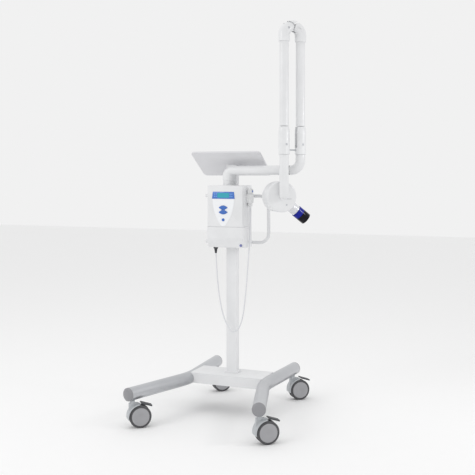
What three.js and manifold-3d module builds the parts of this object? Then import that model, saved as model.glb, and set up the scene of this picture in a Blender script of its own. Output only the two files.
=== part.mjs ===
// Mobile intraoral x-ray unit: a wheeled base with a column, a control box on the column, and a scissor
// arm that carries the x-ray head. Millimetres, +Z up, front towards -Y, floor at Z = 0.
import * as THREE from 'three';
import { mergeVertices } from 'three/addons/utils/BufferGeometryUtils.js';
import Module from 'manifold-3d';

const wasm = await Module();
wasm.setup();

// ---- driving dimensions ----
const gap = 0.3; // between pieces that touch
const wall = 3; // moulded and folded shells

const base = {
  tubeRadius: 30, tubeWall: 2.5, tubeZ: 153, bendLength: 60,
  front: [311.5, -396], bend: [190, -13], back: [215.4, 363],
  coverX: 185, coverY: [-22, 133], coverZ: [132, 183],
  stemInset: 22, // from the tube's end back to the caster stem
};
const caster = { radius: 50, trail: 34, angle: 40, topZ: base.tubeZ - base.tubeRadius - gap };
const column = { x: 26, y: [50, 84], topZ: 1178 };
const tray = { width: 355, depth: 199, thickness: 8, y: 49.5, z: 1191, slope: 32.8 };
const handle = { radius: 8, y: 95, left: -156, right: 175, top: 1034, bottom: 810, corner: 45 };
const box = { x: 92.5, y: [-31, 83], z: [790, 1086], splitY: 25, seamZ: 889, chinZ: 835, chinY: -12 };
const controls = { x: -8, displayX: [-66, 51], displayZ: [1023, 1056] };
const handset = { x: 105, y: 32, bottom: 987, rim: 1045, top: 1070 };
const gland = { x: -60, y: 0, top: box.z[0] - gap, bottom: 761 };
const arm = { radius: 22, z: 1158, riserRadius: 20, riserTop: 1109, ringX: [305, 316.7], riserBend: 27, bend: 46 };
const post = { x: 366, y: 0, radius: 22.5 };
const fold = {
  angle: 45, // of the scissor arm's plane, from +X
  spacing: 84, tubeRadius: 21.5, sleeveRadius: 26, seatZ: 1229.7, sleeveTop: 1357, taperZ: 1333,
  shoulderZ: 1360, pivotZ: 1275, tongue: 11.2, tongueHalf: 13, pinRadius: 5,
};
const arch = { radius: 26.5, centreZ: 1776.5, rimZ: 1748, cheek: 9.4, tongue: 9, eye: 18.6, sweep: 33 };
const head = { angle: 40, radius: 72, axisZ: 1035, front: 24, seam: 38, straight: 94, rear: 130, beamY: 66 };
const cone = { dip: 38, collar: 25.5, radius: 28, start: 108, colour: 135, end: 172 };

// ---- finishes ----
const finish = (color, roughness, metalness = 0) =>
  new THREE.MeshStandardMaterial({ color, roughness, metalness });
const whitePaint = finish(0xeeeff1, 0.4);
const whitePlastic = finish(0xf1f2f4, 0.32);
const silverPaint = finish(0xbfc3c8, 0.38, 0.5);
const greyPlastic = finish(0xb4b8bd, 0.5);
const darkPlastic = finish(0x2b2d31, 0.55);
const tyreRubber = finish(0x1c1d1f, 0.75);
const trayPlastic = finish(0xd2d0d7, 0.5);
const steel = finish(0xa7abb0, 0.3, 0.9);
const iron = finish(0x4d4f52, 0.7, 0.6);
const copper = finish(0x9c6a43, 0.5, 0.5);
const bluePlastic = finish(0x1d3f9a, 0.3);
const screenGlass = finish(0x2f8f9d, 0.2);
const coneBlue = finish(0x0a1a8c, 0.15);
const coneBlack = finish(0x08080c, 0.12);
const clearCollar = finish(0xe4e8ee, 0.15);
const cordJacket = finish(0xe2e3e6, 0.5);

// ---- solids ----
// A closed manifold from a three.js geometry: shared vertices merged, collapsed faces dropped, faces out.
function asSolid(geometry) {
  const bare = geometry.clone();
  bare.deleteAttribute('normal');
  bare.deleteAttribute('uv');
  const merged = mergeVertices(bare, 1e-4);
  const index = merged.index.array;
  const place = merged.attributes.position.array;
  const corner = (i) => new THREE.Vector3(place[3 * i], place[3 * i + 1], place[3 * i + 2]);
  const faces = [];
  let volume = 0;
  for (let i = 0; i < index.length; i += 3) {
    const [a, b, c] = [index[i], index[i + 1], index[i + 2]];
    if (a !== b && b !== c && c !== a) {
      faces.push([a, b, c]);
      volume += corner(a).dot(corner(b).cross(corner(c)));
    }
  }
  const outward = volume < 0 ? faces.map(([a, b, c]) => [a, c, b]) : faces;
  return new wasm.Manifold(new wasm.Mesh({
    numProp: 3,
    vertProperties: Float32Array.from(place),
    triVerts: Uint32Array.from(outward.flat()),
  }));
}

function asGeometry(solid) {
  const mesh = solid.getMesh();
  const geometry = new THREE.BufferGeometry();
  geometry.setAttribute('position', new THREE.BufferAttribute(mesh.vertProperties, 3));
  geometry.setIndex(new THREE.BufferAttribute(mesh.triVerts, 1));
  return geometry;
}

const combine = (how) => (first, ...rest) =>
  asGeometry(rest.reduce((sum, next) => sum[how](asSolid(next)), asSolid(first)));
const join = combine('add');
const cut = combine('subtract');
const meet = combine('intersect');

const block = ([x0, x1], [y0, y1], [z0, z1]) =>
  new THREE.BoxGeometry(x1 - x0, y1 - y0, z1 - z0).translate((x0 + x1) / 2, (y0 + y1) / 2, (z0 + z1) / 2);

const rod = (radius, [low, high], sides = 24) =>
  new THREE.CylinderGeometry(radius, radius, high - low, sides)
    .rotateX(Math.PI / 2).translate(0, 0, (low + high) / 2);

const rodAlongY = (radius, [low, high], x = 0, z = 0, sides = 24) =>
  new THREE.CylinderGeometry(radius, radius, high - low, sides).translate(x, (low + high) / 2, z);

// A profile of [radius, height] points turned about Z.
const spin = (profile, sides = 24) =>
  new THREE.LatheGeometry(profile.map(([r, z]) => new THREE.Vector2(r, z)), sides).rotateX(Math.PI / 2);

// The same, about Y.
const spinAboutY = (profile, sides = 24) =>
  new THREE.LatheGeometry(profile.map(([r, y]) => new THREE.Vector2(r, y)), sides);

// A ring's profile meets its own start.
const closed = (profile) => [...profile, profile[0]];

const ring = (outer, inner, [low, high]) =>
  spin(closed([[inner, low], [outer, low], [outer, high], [inner, high]]), 18);

const outline = (points) => new THREE.Shape(points.map(([a, b]) => new THREE.Vector2(a, b)));

// An outline in the XZ plane, extruded along Y.
const slab = (shape, [low, high], curveSegments = 8) =>
  new THREE.ExtrudeGeometry(shape, { depth: high - low, bevelEnabled: false, curveSegments })
    .rotateX(Math.PI / 2).translate(0, high, 0);

// An outline in the XY plane, extruded along Z.
const plate = (shape, [low, high], curveSegments = 3) =>
  new THREE.ExtrudeGeometry(shape, { depth: high - low, bevelEnabled: false, curveSegments })
    .translate(0, 0, low);

function disc(radius, x = 0, z = 0) {
  const shape = new THREE.Shape();
  shape.absarc(x, z, radius, 0, 2 * Math.PI, false);
  return shape;
}

function roundedRectangle([x0, x1], [y0, y1], r) {
  const shape = new THREE.Shape();
  shape.moveTo(x0 + r, y0).lineTo(x1 - r, y0).absarc(x1 - r, y0 + r, r, -Math.PI / 2, 0, false);
  shape.lineTo(x1, y1 - r).absarc(x1 - r, y1 - r, r, 0, Math.PI / 2, false);
  shape.lineTo(x0 + r, y1).absarc(x0 + r, y1 - r, r, Math.PI / 2, Math.PI, false);
  shape.lineTo(x0, y0 + r).absarc(x0 + r, y0 + r, r, Math.PI, 1.5 * Math.PI, false);
  return shape;
}

// Straight runs between corners, each corner rounded over the given length to either side.
function bentPath(corners, rounding) {
  const points = corners.map((p) => new THREE.Vector3(...p));
  const path = new THREE.CurvePath();
  let start = points[0];
  for (let i = 1; i < points.length - 1; i += 1) {
    const before = points[i].clone().add(points[i - 1].clone().sub(points[i]).setLength(rounding));
    const after = points[i].clone().add(points[i + 1].clone().sub(points[i]).setLength(rounding));
    path.add(new THREE.LineCurve3(start, before));
    path.add(new THREE.CubicBezierCurve3(
      before,
      before.clone().lerp(points[i], 0.55),
      after.clone().lerp(points[i], 0.55),
      after,
    ));
    start = after;
  }
  path.add(new THREE.LineCurve3(start, points[points.length - 1]));
  return path;
}

// A round section swept along a path; bore > 0 leaves it hollow and open at both ends.
// A full circle takes two points for each of its curve segments.
function pipe(path, radius, steps, sides = 16, bore = 0) {
  const section = new THREE.Shape();
  section.absarc(0, 0, radius, 0, 2 * Math.PI, false);
  if (bore > 0) {
    const hole = new THREE.Path();
    hole.absarc(0, 0, bore, 0, 2 * Math.PI, true);
    section.holes.push(hole);
  }
  return new THREE.ExtrudeGeometry(section, {
    steps, extrudePath: path, curveSegments: sides / 2, bevelEnabled: false,
  });
}

// ---- scene graph ----
const unit = new THREE.Group();

function add(name, geometry, material, parent = unit) {
  const mesh = new THREE.Mesh(asGeometry(asSolid(geometry)), material);
  mesh.name = name;
  parent.add(mesh);
  return mesh;
}

function frameAt(x, y, degrees = 0) {
  const group = new THREE.Group();
  group.position.set(x, y, 0);
  group.rotation.z = THREE.MathUtils.degToRad(degrees);
  unit.add(group);
  return group;
}

// ---- base: two bent tubes, their end caps, the cross cover and the ballast in it ----
const sides = { left: -1, right: 1 };
const tubeCorners = (side) =>
  [base.front, base.bend, base.back].map(([x, y]) => [side * x, y, base.tubeZ]);
const endDirection = (side, end) => {
  const from = new THREE.Vector3(side * base.bend[0], base.bend[1], 0);
  const to = new THREE.Vector3(side * base[end][0], base[end][1], 0);
  return to.sub(from).normalize();
};
const saddles = Object.values(sides).map((side) =>
  pipe(bentPath(tubeCorners(side), base.bendLength), base.tubeRadius + 0.6, 10, 14));

function buildBase() {
  const capProfile = [[0, 0], [30, 0], [30, 5], [26, 10], [16, 12.6], [0, 13.4]];
  for (const [name, side] of Object.entries(sides)) {
    const path = bentPath(tubeCorners(side), base.bendLength);
    const bore = base.tubeRadius - base.tubeWall;
    add(`${name}_base_tube`, pipe(path, base.tubeRadius, 10, 14, bore), silverPaint);
    for (const end of ['front', 'back']) {
      const direction = endDirection(side, end);
      const cap = add(`${end}_${name}_end_cap`, spin(capProfile, 14), darkPlastic);
      cap.quaternion.setFromUnitVectors(new THREE.Vector3(0, 0, 1), direction);
      cap.position.set(side * base[end][0], base[end][1], base.tubeZ).addScaledVector(direction, gap);
    }
  }
  const [front, back] = base.coverY;
  const [low, high] = base.coverZ;
  const shell = block([-base.coverX, base.coverX], base.coverY, base.coverZ);
  const inside = block([-200, 200], [front + wall, back - wall], [low - 5, high - wall]);
  add('base_cover', cut(shell, inside, ...saddles), whitePaint);
  add('ballast_block', block([-150, 150], [front + 7, back - 7], [low + 2, high - wall - 3]), iron);
}

// ---- casters: hood with stem, twin wheels on one axle, brake pedal ----
function buildCaster(name, side, end) {
  const direction = endDirection(side, end);
  const group = frameAt(
    side * base[end][0] - base.stemInset * direction.x,
    base[end][1] - base.stemInset * direction.y,
    caster.angle,
  );
  const axleX = caster.trail;
  const axleZ = caster.radius;
  const web = outline([
    [-16, 112], [-16, 64], [22, 36], [46, 40], [48, 60], [40, 98], [34, 108], [16, 112],
  ]);
  const fender = new THREE.Shape();
  const [fenderFrom, fenderTo] = [95, 190].map(THREE.MathUtils.degToRad);
  fender.absarc(axleX, axleZ, caster.radius + 7, fenderFrom, fenderTo, false);
  fender.absarc(axleX, axleZ, caster.radius + 3, fenderTo, fenderFrom, true);
  const hood = join(
    slab(web, [-7, 7]),
    slab(fender, [-25, 25], 5),
    rod(11, [105, caster.topZ], 12),
  );
  add(`${name}_caster_hood`, cut(hood, rodAlongY(6.6, [-30, 30], axleX, axleZ, 10)), greyPlastic, group);
  const wheels = spinAboutY([
    [0, -24.5], [45, -24.5], [50, -21], [50, -8], [6, -8], [6, 8], [50, 8], [50, 21], [45, 24.5], [0, 24.5],
  ], 16);
  add(`${name}_caster_wheels`, wheels, tyreRubber, group).position.set(axleX, 0, axleZ);
  const pedal = outline([[37, 109], [38, 114], [88, 98], [87, 92], [44, 105]]);
  add(`${name}_brake_pedal`, slab(pedal, [-15, 15]), darkPlastic, group);
}

// ---- column with its foot, tray, handle and its clamp ----
function buildColumn() {
  const [front, back] = column.y;
  const [low, high] = [base.coverZ[1] + gap, column.topZ + 40];
  const tube = join(
    block([-column.x, column.x], column.y, [low, high]),
    block([-column.x - 8, column.x + 8], [front - 8, back + 8], [low, low + 7]),
  );
  const bore = block([-column.x + wall, column.x - wall], [front + wall, back - wall], [0, high + 10]);
  const slope = -THREE.MathUtils.degToRad(tray.slope);
  const onTray = (geometry) => geometry.rotateX(slope).translate(0, tray.y, tray.z);
  const overTray = onTray(block([-100, 100], [-150, 150], [-tray.thickness / 2 - gap, 150]));
  add('column', cut(tube, bore, overTray), whitePaint);

  const [halfWidth, halfDepth] = [tray.width / 2, tray.depth / 2];
  const sheet = plate(
    roundedRectangle([-halfWidth, halfWidth], [-halfDepth, halfDepth], 16),
    [-tray.thickness / 2, tray.thickness / 2],
  );
  const lip = block([-halfWidth + 20, halfWidth - 20], [halfDepth - 8, halfDepth - 2], [0, 14]);
  add('tray', onTray(join(sheet, lip)), trayPlastic);

  const bars = bentPath([
    [handle.left, handle.y, handle.top], [handle.right, handle.y, handle.top],
    [handle.right, handle.y, handle.bottom], [handle.left, handle.y, handle.bottom],
  ], handle.corner);
  add('handle', pipe(bars, handle.radius, 30, 10), whitePaint);

  const ears = [handle.top, handle.bottom].map((z) =>
    block([-16, 16], [back + gap, handle.y + 14], [z - 14, z + 14]));
  const bores = [handle.top, handle.bottom].map((z) =>
    rod(handle.radius + gap, [-30, 30], 12).rotateY(Math.PI / 2).translate(0, handle.y, z));
  const strap = block([-16, 16], [back + gap, back + 2.6], [handle.bottom, handle.top]);
  add('handle_clamp', cut(join(strap, ...ears), ...bores), darkPlastic);
}

// ---- control box ----
const lens = (centreZ, grow) => {
  const [halfWidth, halfHeight] = [23 + grow, 10 + grow];
  const shape = new THREE.Shape();
  shape.moveTo(controls.x - halfWidth, centreZ);
  shape.quadraticCurveTo(controls.x, centreZ - 2 * halfHeight, controls.x + halfWidth, centreZ);
  shape.quadraticCurveTo(controls.x, centreZ + 2 * halfHeight, controls.x - halfWidth, centreZ);
  return shape;
};
const buttons = {
  up_button: (grow) => lens(981, grow),
  down_button: (grow) => lens(959, grow),
  ready_button: (grow) => disc(7 + grow, controls.x, 923),
};

function buildControlBox() {
  const [front, back] = box.y;
  const [low, high] = box.z;
  const halfWidth = box.x;
  const inner = halfWidth - wall;
  const channel = column.x + 0.6;

  const chassis = cut(
    block([-halfWidth, halfWidth], [box.splitY, back], box.z),
    block([-channel, channel], [column.y[0] - 0.6, back + 10], [low - 10, high + 10]),
    block([-inner, inner], [box.splitY - 5, column.y[0] - 0.6 - wall], [low + wall, high - wall]),
    block([-inner, -channel - wall], [box.splitY - 5, back - wall], [low + wall, high - wall]),
    block([channel + wall, inner], [box.splitY - 5, back - wall], [low + wall, high - wall]),
  );
  add('rear_chassis', chassis, whitePlastic);

  const buttonWells = Object.values(buttons).map((shape) => slab(shape(gap), [front - 10, front + 10]));
  const hood = plate(roundedRectangle([-halfWidth, halfWidth], [front, box.splitY + 30], 8),
    [box.seamZ + gap / 2, high]);
  const upper = cut(
    hood,
    block([-100, 100], [box.splitY - gap, box.splitY + 60], [low, high + 10]),
    block([-inner, inner], [front + wall, box.splitY + 1], [box.seamZ - 10, high - wall]),
    rod(arm.riserRadius + 0.5, [high - 20, high + 20], 20),
    ...buttonWells,
  );
  add('upper_cover', upper, whitePlastic);

  const chin = (inset, seam) => new THREE.Shape([
    new THREE.Vector2(front + inset, seam),
    new THREE.Vector2(front + inset, box.chinZ + inset / 4),
    new THREE.Vector2(box.chinY + inset / 1.3, low + inset),
    new THREE.Vector2(box.splitY - gap + inset, low + inset),
    new THREE.Vector2(box.splitY - gap + inset, seam),
  ]);
  // the outline lies in the YZ plane, extruded along X
  const acrossX = (shape, half) =>
    new THREE.ExtrudeGeometry(shape, { depth: 2 * half, bevelEnabled: false })
      .translate(0, 0, -half).rotateY(Math.PI / 2).rotateX(Math.PI / 2);
  const seam = box.seamZ - gap / 2;
  const lower = cut(acrossX(chin(0, seam), halfWidth), acrossX(chin(wall, seam + 10), inner));
  const switchAxis = new THREE.Vector3(0, box.chinZ - low, box.chinY - front).normalize();
  const switchCentre = new THREE.Vector3(77, -17.5, 803);
  const onSlope = (geometry) => {
    const turn = new THREE.Quaternion().setFromUnitVectors(new THREE.Vector3(0, 0, 1), switchAxis);
    return geometry.applyQuaternion(turn).translate(...switchCentre.toArray());
  };
  add('lower_cover', cut(lower, onSlope(rod(6.4, [-10, 10], 16))), whitePlastic);
  add('mains_switch', onSlope(rod(6, [-5, 8], 16)), bluePlastic);

  const [left, right] = controls.displayX;
  const [displayLow, displayHigh] = controls.displayZ;
  const display = outline([
    [left, displayLow], [right, displayLow], [right - 4, displayHigh], [left + 4, displayHigh],
  ]);
  add('display_window', slab(display, [front - 1.6, front - gap]), screenGlass);
  const shield = new THREE.Shape();
  drawShield(shield, left, right, displayLow - 1.5);
  const overlay = cut(slab(shield, [front - 1.2, front - gap]), ...buttonWells);
  add('keypad_overlay', overlay, whitePlastic);
  for (const [name, shape] of Object.entries(buttons)) {
    add(name, slab(shape(0), [front - 4, front + 5]), bluePlastic);
  }

  add('transformer', block([-84, -30], [-8, 20], [low + 12, low + 84]), copper);
  add('riser_post', rod(arm.riserRadius, [box.chinZ + 10, arm.riserTop], 20), whitePaint);
}

// The keypad's shield: wide under the display, drawn in to a blunt point at the seam.
function drawShield(shield, left, right, top) {
  const point = controls.x;
  const bottom = box.seamZ + 4;
  shield.moveTo(left + 2, top);
  shield.quadraticCurveTo(left + 8, bottom + 45, point - 8, bottom);
  shield.lineTo(point + 8, bottom);
  shield.quadraticCurveTo(right - 8, bottom + 45, right - 2, top);
}

// ---- handset in its holder, gland and cord ----
function buildHandset() {
  const { x, y, bottom, rim, top } = handset;
  const side = box.x + gap;
  const pocket = block([x - 8.4, x + 8.4], [y - 13.4, y + 13.4], [rim - 80, rim + 10]);
  const cradle = plate(roundedRectangle([side - 8, x + 12], [y - 18, y + 18], 5), [rim - 42, rim]);
  const flush = block([0, side], [y - 40, y + 40], [rim - 60, rim + 10]);
  add('handset_holder', cut(cradle, flush, pocket), whitePlastic);

  const grip = plate(roundedRectangle([x - 8, x + 8], [y - 13, y + 13], 5), [bottom, rim + 2]);
  const cap = plate(roundedRectangle([x - 11, x + 11], [y - 17, y + 17], 6), [rim + gap, top]);
  const button = rod(5, [-6, 2.5], 16).rotateY(Math.PI / 2).translate(x + 11, y, rim + 13);
  const well = rod(5.4, [-9, 10], 16).rotateY(Math.PI / 2).translate(x + 11, y, rim + 13);
  add('handset', cut(join(grip, cap), well), whitePlastic);
  add('exposure_button', button, bluePlastic);

  const { top: glandTop, bottom: glandBottom } = gland;
  const reliefProfile = [
    [0, glandBottom], [4.6, glandBottom], [8, glandTop - 7], [11, glandTop - 6], [11, glandTop], [0, glandTop],
  ];
  add('cable_gland', spin(reliefProfile, 16), darkPlastic).position.set(gland.x, gland.y, 0);

  // the cord hangs in front of the column and climbs the box's side to the handset
  const route = [
    [-60, 0, 760.6], [-58.5, 0, 742], [-55.5, 1, 689], [-51, 3, 622], [-41, 6, 538], [-27, 9, 471],
    [-9, 12, 424], [18, 16, 387], [44, 20, 396], [61, 22, 428], [72, 24, 473], [80.5, 27, 541],
    [88, 29, 625], [95, 31, 726], [99, 32, 776], [102.5, 32, 850], [104.4, 32, 925], [105, 32, 986.6],
  ];
  const curve = new THREE.CatmullRomCurve3(route.map((p) => new THREE.Vector3(...p)), false, 'centripetal');
  add('handset_cord', pipe(curve, 3.2, 50, 8), cordJacket);
}

// ---- swing arm: from the riser out to the post that carries the scissor arm ----
function buildSwingArm() {
  const { radius, z, riserTop, ringX, riserBend, bend } = arm;
  const reach = bentPath([[0, 0, riserTop + 0.4], [0, 0, z], [ringX[0] - gap, 0, z]], riserBend);
  add('horizontal_arm', pipe(reach, radius, 20, 14), whitePlastic);
  const ring = rod(radius - 0.8, ringX, 24).rotateY(Math.PI / 2).translate(0, 0, z);
  add('elbow_ring', ring, darkPlastic);
  const rise = bentPath(
    [[ringX[1] + gap, 0, z], [post.x, 0, z], [post.x, 0, fold.seatZ - gap]],
    bend,
  );
  add('elbow_post', pipe(rise, post.radius, 9, 14), whitePlastic);
}

// ---- scissor arm, in a frame with X from the upper arm's tube (x = -spacing) to the lower's (x = 0) ----
const middle = -fold.spacing / 2;
const archRadius = fold.spacing / 2;
const kneeX = middle + archRadius * Math.SQRT1_2;
const kneeZ = arch.centreZ + archRadius * Math.SQRT1_2;

function archBody() {
  const path = new THREE.CurvePath();
  const at = (x, z) => new THREE.Vector3(x, 0, z);
  const handles = 0.5523 * archRadius; // of a quarter circle's Bezier curve
  const crown = arch.centreZ + archRadius;
  path.add(new THREE.LineCurve3(at(0, arch.rimZ), at(0, arch.centreZ)));
  path.add(new THREE.CubicBezierCurve3(
    at(0, arch.centreZ), at(0, arch.centreZ + handles), at(middle + handles, crown), at(middle, crown)));
  path.add(new THREE.CubicBezierCurve3(
    at(middle, crown), at(middle - handles, crown),
    at(-fold.spacing, arch.centreZ + handles), at(-fold.spacing, arch.centreZ)));
  path.add(new THREE.LineCurve3(at(-fold.spacing, arch.centreZ), at(-fold.spacing, arch.rimZ)));
  return pipe(path, arch.radius, 18, 16);
}

// One arm tube: a tongue at the bottom for the sleeve, half of the arch on top, slotted for the knuckle.
function armTube() {
  const { tongue, tongueHalf, pivotZ, shoulderZ, tubeRadius, pinRadius } = fold;
  const tongueShape = new THREE.Shape();
  tongueShape.moveTo(tongueHalf, shoulderZ + 10).lineTo(tongueHalf, pivotZ);
  tongueShape.absarc(0, pivotZ, tongueHalf, 0, Math.PI, true);
  tongueShape.lineTo(-tongueHalf, shoulderZ + 10);

  // the arch's own side of the 45 degree line through its centre and the knee pivot
  const far = 120;
  const centre = [middle, arch.centreZ];
  const outerSide = outline([
    centre, [centre[0] - far, centre[1] - far], [centre[0] + far, centre[1] - far - 20],
    [centre[0] + far, centre[1] + far],
  ]);
  const ease = 0.5;
  const innerSide = outline([
    [centre[0] - far + ease, centre[1] - far - ease], [centre[0] + far + ease, centre[1] + far - ease],
    [centre[0] - far, centre[1] + far],
  ]);
  const width = [-40, 40];
  const kept = join(
    meet(slab(outerSide, width), block([middle + 5, 60], width, [1700, 1900])),
    slab(disc(arch.radius, kneeX, kneeZ), width, 10),
  );
  const half = meet(archBody(), kept);
  const slot = [-arch.cheek, arch.cheek];
  return cut(
    join(
      slab(tongueShape, [-tongue, tongue], 8),
      rod(tubeRadius, [shoulderZ, arch.rimZ + 12], 16),
      half,
    ),
    slab(disc(arch.eye + 0.6, kneeX, kneeZ), slot, 8),
    slab(innerSide, slot),
    rodAlongY(pinRadius + gap, width, kneeX, kneeZ, 12),
    rodAlongY(pinRadius + gap, width, 0, pivotZ, 12),
  );
}

// A sleeve that an arm's tongue tilts in, open on the side that faces the other tube.
function armSleeve() {
  const { sleeveRadius, seatZ, sleeveTop, taperZ, tongue, tongueHalf, pivotZ, pinRadius } = fold;
  const body = spin([
    [0, seatZ], [sleeveRadius, seatZ], [sleeveRadius, taperZ], [sleeveRadius - 2.8, sleeveTop], [0, sleeveTop],
  ], 16);
  const slot = block([-40, tongueHalf + 0.6], [-tongue - 0.4, tongue + 0.4], [pivotZ - 13.6, sleeveTop + 5]);
  return cut(body, slot, rodAlongY(pinRadius + gap, [-40, 40], 0, pivotZ, 12));
}

// The knuckle keeps the top of the arch upright between the two knee pivots.
function knuckleBody() {
  const width = [-40, 40];
  const kneesX = [kneeX, 2 * middle - kneeX];
  const crown = meet(archBody(), block([middle - 32, middle + 32], width, [kneeZ + 12, 1900]));
  const bump = cut(crown, ...kneesX.map((x) => slab(disc(arch.sweep + 0.6, x, kneeZ), width, 12)));
  const web = [-arch.tongue, arch.tongue];
  const link = join(
    ...kneesX.map((x) => slab(disc(arch.eye, x, kneeZ), web, 8)),
    block([kneesX[1], kneesX[0]], web, [kneeZ - 13, kneeZ + 13]),
    block([middle - 8, middle + 8], web, [kneeZ - 13, kneeZ + 30]),
  );
  return cut(join(bump, link), ...kneesX.map((x) => rodAlongY(fold.pinRadius + gap, width, x, kneeZ, 12)));
}

function buildScissorArm() {
  const near = frameAt(post.x, post.y, fold.angle);
  const far = new THREE.Group();
  far.position.x = -fold.spacing;
  far.rotation.z = Math.PI;
  near.add(far);

  const sleevePin = rodAlongY(fold.pinRadius, [-25.4, 25.4], 0, fold.pivotZ, 12);
  const kneePin = rodAlongY(fold.pinRadius, [-25.4, 25.4], kneeX, kneeZ, 12);
  const tube = armTube();
  const sleeve = armSleeve();
  const bumper = rod(3.5, [-fold.spacing + fold.sleeveRadius + gap, -fold.sleeveRadius - gap], 12)
    .rotateY(Math.PI / 2).translate(0, 0, 1250);

  add('lower_sleeve', sleeve, whitePlastic, near);
  add('lower_sleeve_pin', sleevePin, steel, near);
  add('park_bumper', bumper, darkPlastic, near);
  add('lower_arm_tube', tube, whitePlastic, near);
  add('lower_knee_pin', kneePin, steel, near);
  add('knuckle', knuckleBody(), whitePlastic, near);
  add('upper_arm_tube', tube, whitePlastic, far);
  add('upper_knee_pin', kneePin, steel, far);
  add('neck_sleeve', sleeve, whitePlastic, far);
  add('neck_sleeve_pin', sleevePin, steel, far);
}

// ---- neck and x-ray head, in a frame on the neck's axis that faces along the drum's axis ----
function buildHead() {
  const turn = THREE.MathUtils.degToRad(fold.angle);
  const x = post.x - fold.spacing * Math.cos(turn);
  const y = post.y - fold.spacing * Math.sin(turn);
  const group = frameAt(x, y, head.angle);
  const { radius, axisZ, front, seam, straight, rear, beamY } = head;

  const neck = spin([
    [0, 1023], [12, 1025], [18.5, 1031], [fold.tubeRadius, 1041],
    [fold.tubeRadius, fold.seatZ - gap], [0, fold.seatZ - gap],
  ], 16);
  add('neck', join(neck, rodAlongY(9, [0, front + 18], 0, axisZ, 16)), whitePlastic, group);

  const cover = spinAboutY(closed([
    [9.5, front], [radius - 5, front], [radius - 1.4, front + 1.6], [radius, front + 5], [radius, seam],
    [radius - wall, seam], [radius - wall, front + 6], [radius - 8, front + 3.4], [9.5, front + 3.4],
  ]), 24);
  add('head_front_cover', cover, whitePlastic, group).position.z = axisZ;

  const shell = spinAboutY([
    [0, rear - wall], [24, rear - 4], [47, rear - 9], [62, rear - 20], [radius - wall, straight],
    [radius - wall, seam + gap], [radius, seam + gap], [radius, straight], [65, rear - 17],
    [50, rear - 6], [25, rear - 1], [0, rear],
  ], 24);
  const dip = THREE.MathUtils.degToRad(cone.dip);
  const beam = new THREE.Vector3(Math.cos(dip), 0, -Math.sin(dip));
  const alongBeam = (geometry) => {
    const aim = new THREE.Quaternion().setFromUnitVectors(new THREE.Vector3(0, 0, 1), beam);
    return geometry.applyQuaternion(aim).translate(0, beamY, 0);
  };
  const port = alongBeam(rod(cone.collar + 0.7, [40, 120], 18));
  add('head_rear_shell', cut(shell, port), whitePlastic, group).position.z = axisZ;

  const insert = spinAboutY([
    [0, 50], [14, 50], [14, 58], [22, 62], [22, 90], [14, 96], [14, 106], [0, 106],
  ], 12);
  add('xray_tube', insert, screenGlass, group).position.z = axisZ;

  const collar = alongBeam(ring(cone.collar, 20, [56, cone.start]));
  add('beam_collar', collar, clearCollar, group).position.z = axisZ;
  const start = alongBeam(ring(cone.radius, 23, [cone.start + gap, cone.colour]));
  add('cone_base', start, coneBlue, group).position.z = axisZ;
  const tip = alongBeam(spin([
    [0, cone.end - 6], [24, cone.end - 6], [24, cone.colour + gap], [cone.radius, cone.colour + gap],
    [cone.radius, cone.end - 1], [cone.radius - 1, cone.end], [25, cone.end], [24.4, cone.end - 2],
    [0, cone.end - 2],
  ], 18));
  add('cone_tip', tip, coneBlack, group).position.z = axisZ;
}

buildBase();
for (const [sideName, side] of Object.entries(sides)) {
  for (const end of ['front', 'back']) {
    buildCaster(`${end}_${sideName}`, side, end);
  }
}
buildColumn();
buildControlBox();
buildHandset();
buildSwingArm();
buildScissorArm();
buildHead();

// the origin is on the floor under the centre of the whole unit's bounding box
const bounds = new THREE.Box3().setFromObject(unit);
const centre = bounds.getCenter(new THREE.Vector3());
unit.position.set(-centre.x, -centre.y, 0);

export default unit;
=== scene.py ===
"""Looks of the mobile intraoral x-ray unit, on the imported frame.

Dimensions in the helpers are millimetres.
"""
import math

import bmesh
import bpy
from mathutils import Matrix, Vector


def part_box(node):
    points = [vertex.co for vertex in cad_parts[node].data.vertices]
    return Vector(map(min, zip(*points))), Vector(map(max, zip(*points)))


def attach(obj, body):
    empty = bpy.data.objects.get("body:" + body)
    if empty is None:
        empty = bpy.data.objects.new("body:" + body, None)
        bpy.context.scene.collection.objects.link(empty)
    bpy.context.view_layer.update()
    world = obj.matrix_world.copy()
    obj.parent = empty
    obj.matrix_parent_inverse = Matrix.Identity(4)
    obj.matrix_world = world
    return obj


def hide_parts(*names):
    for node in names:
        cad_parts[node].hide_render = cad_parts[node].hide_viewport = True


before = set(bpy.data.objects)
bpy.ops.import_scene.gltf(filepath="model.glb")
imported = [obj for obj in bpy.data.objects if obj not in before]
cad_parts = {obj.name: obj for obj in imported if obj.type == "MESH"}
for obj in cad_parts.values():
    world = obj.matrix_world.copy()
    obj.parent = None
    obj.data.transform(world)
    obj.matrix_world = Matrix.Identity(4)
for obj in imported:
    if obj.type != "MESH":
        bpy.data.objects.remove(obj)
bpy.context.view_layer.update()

# ---- driving dimensions, as in the CAD, in the stand's own frame ----
GAP = 0.3
WALL = 3.0
TUBE_RADIUS, TUBE_Z, TUBE_ROUNDING = 30.0, 153.0, 60.0
TUBE_FRONT, TUBE_BEND, TUBE_BACK = (311.5, -396.0), (190.0, -13.0), (215.4, 363.0)
STEM_INSET = 22.0
WHEEL_RADIUS, CASTER_TRAIL, CASTER_ANGLE = 50.0, 34.0, 40.0
BOX_HALF, BOX_FRONT, BOX_SPLIT = 92.5, -31.0, 25.0
BOX_LOW, BOX_HIGH, SEAM_Z, CHIN_Z, CHIN_Y = 790.0, 1086.0, 889.0, 835.0, -12.0
CONTROLS_X = -8.0
HANDLE_Y, HANDLE_LEFT, HANDLE_RIGHT, HANDLE_TOP, HANDLE_BOTTOM = 95.0, -156.0, 175.0, 1034.0, 810.0
POST_X, SPACING = 366.0, 84.0
ARCH_Z, RIM_Z = 1776.5, 1748.0
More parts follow.
